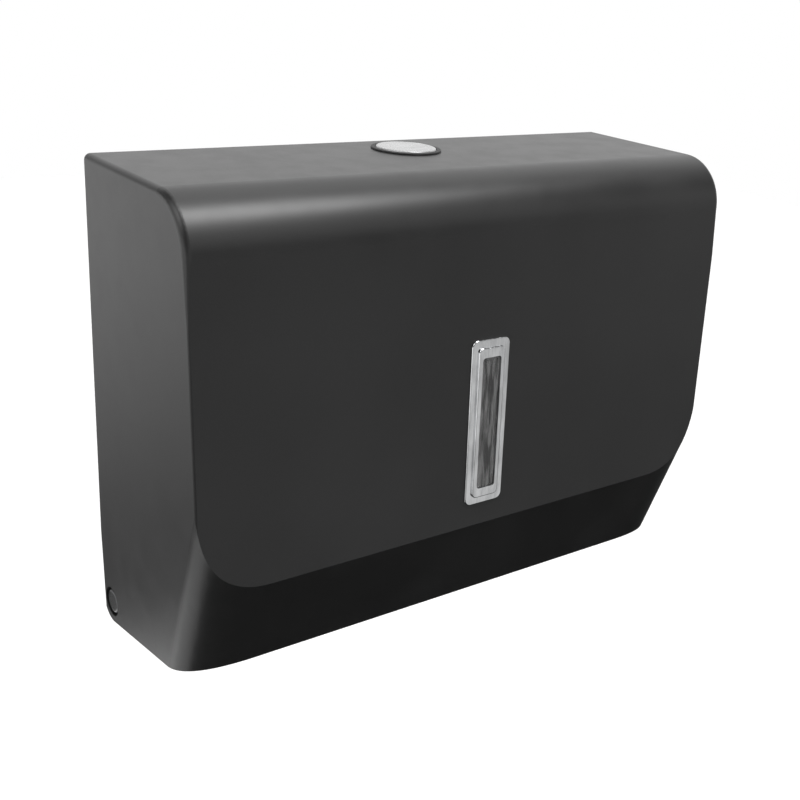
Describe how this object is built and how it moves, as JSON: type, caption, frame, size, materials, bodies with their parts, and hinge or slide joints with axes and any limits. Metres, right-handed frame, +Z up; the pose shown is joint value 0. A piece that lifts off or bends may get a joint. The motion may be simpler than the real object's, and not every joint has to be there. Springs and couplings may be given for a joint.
{
  "type": "paper towel dispenser",
  "caption": "Wall-mounted dispenser for folded paper towels: hinged charcoal cover with a stepped bright window, push-button latch on top and a lipped mouth in the sloping underside.",
  "frame": {"origin": "on the wall plane, in the middle of the four wall-screw slots in the back plate", "axes": "+X along the wall, to the right when facing the dispenser; +Y into the wall; +Z up"},
  "size_m": [0.272, 0.099, 0.208],
  "materials": {
    "cover_plastic": "satin charcoal black moulded plastic with a very fine grain",
    "inner_plastic": "matt black moulded plastic",
    "mechanism_plastic": "matt grey moulded plastic",
    "trim_plastic": "dark gloss moulded plastic",
    "button_cap": "smooth pale silver",
    "bezel_chrome": "bright polished",
    "lens_clear": "clear moulded pane",
    "steel": "zinc-plated steel",
    "spring_steel": "bright spring wire"
  },
  "bodies": {
    "back": {"back_plate": "inner_plastic", "towel_tray": "inner_plastic", "tray_screws": "steel", "strike_plate": "steel", "strike_screws": "steel", "hinge_pin_left": "steel", "hinge_pin_right": "steel", "pin_clip_left": "spring_steel", "pin_clip_right": "spring_steel"},
    "cover": {"front_cover": "cover_plastic", "window_bezel": "bezel_chrome", "window_lens": "lens_clear", "window_retainer": "inner_plastic", "button_collar": "trim_plastic", "lock_housing": "mechanism_plastic", "lock_screws": "steel", "latch_pivot_pin": "steel", "latch_spring": "spring_steel", "hinge_bush_left": "trim_plastic", "hinge_bush_right": "trim_plastic"},
    "button": {"push_button": "inner_plastic", "button_cap": "button_cap"},
    "latch": {"latch_lever": "mechanism_plastic"}
  },
  "joints": [
    {"name": "cover_swing", "type": "hinge", "parent": "back", "child": "cover", "pos_m": [0, -0.0106, -0.0952], "axis": [1, 0, 0], "range_deg": [0, 95]},
    {"name": "button_press", "type": "slide", "parent": "cover", "child": "button", "axis": [0, 0, -1], "range_m": [0, 0.003], "stiffness_N_per_m": 400, "springref_m": -0.002, "deforming": ["latch_spring"]},
    {"name": "latch_turn", "type": "hinge", "parent": "cover", "child": "latch", "pos_m": [0, -0.02, 0.0812], "axis": [1, 0, 0], "range_deg": [0, 19.5]}
  ],
  "couplings": [
    {"joint": "latch_turn", "follows": "button_press", "rad_per_m": 111}
  ]
}
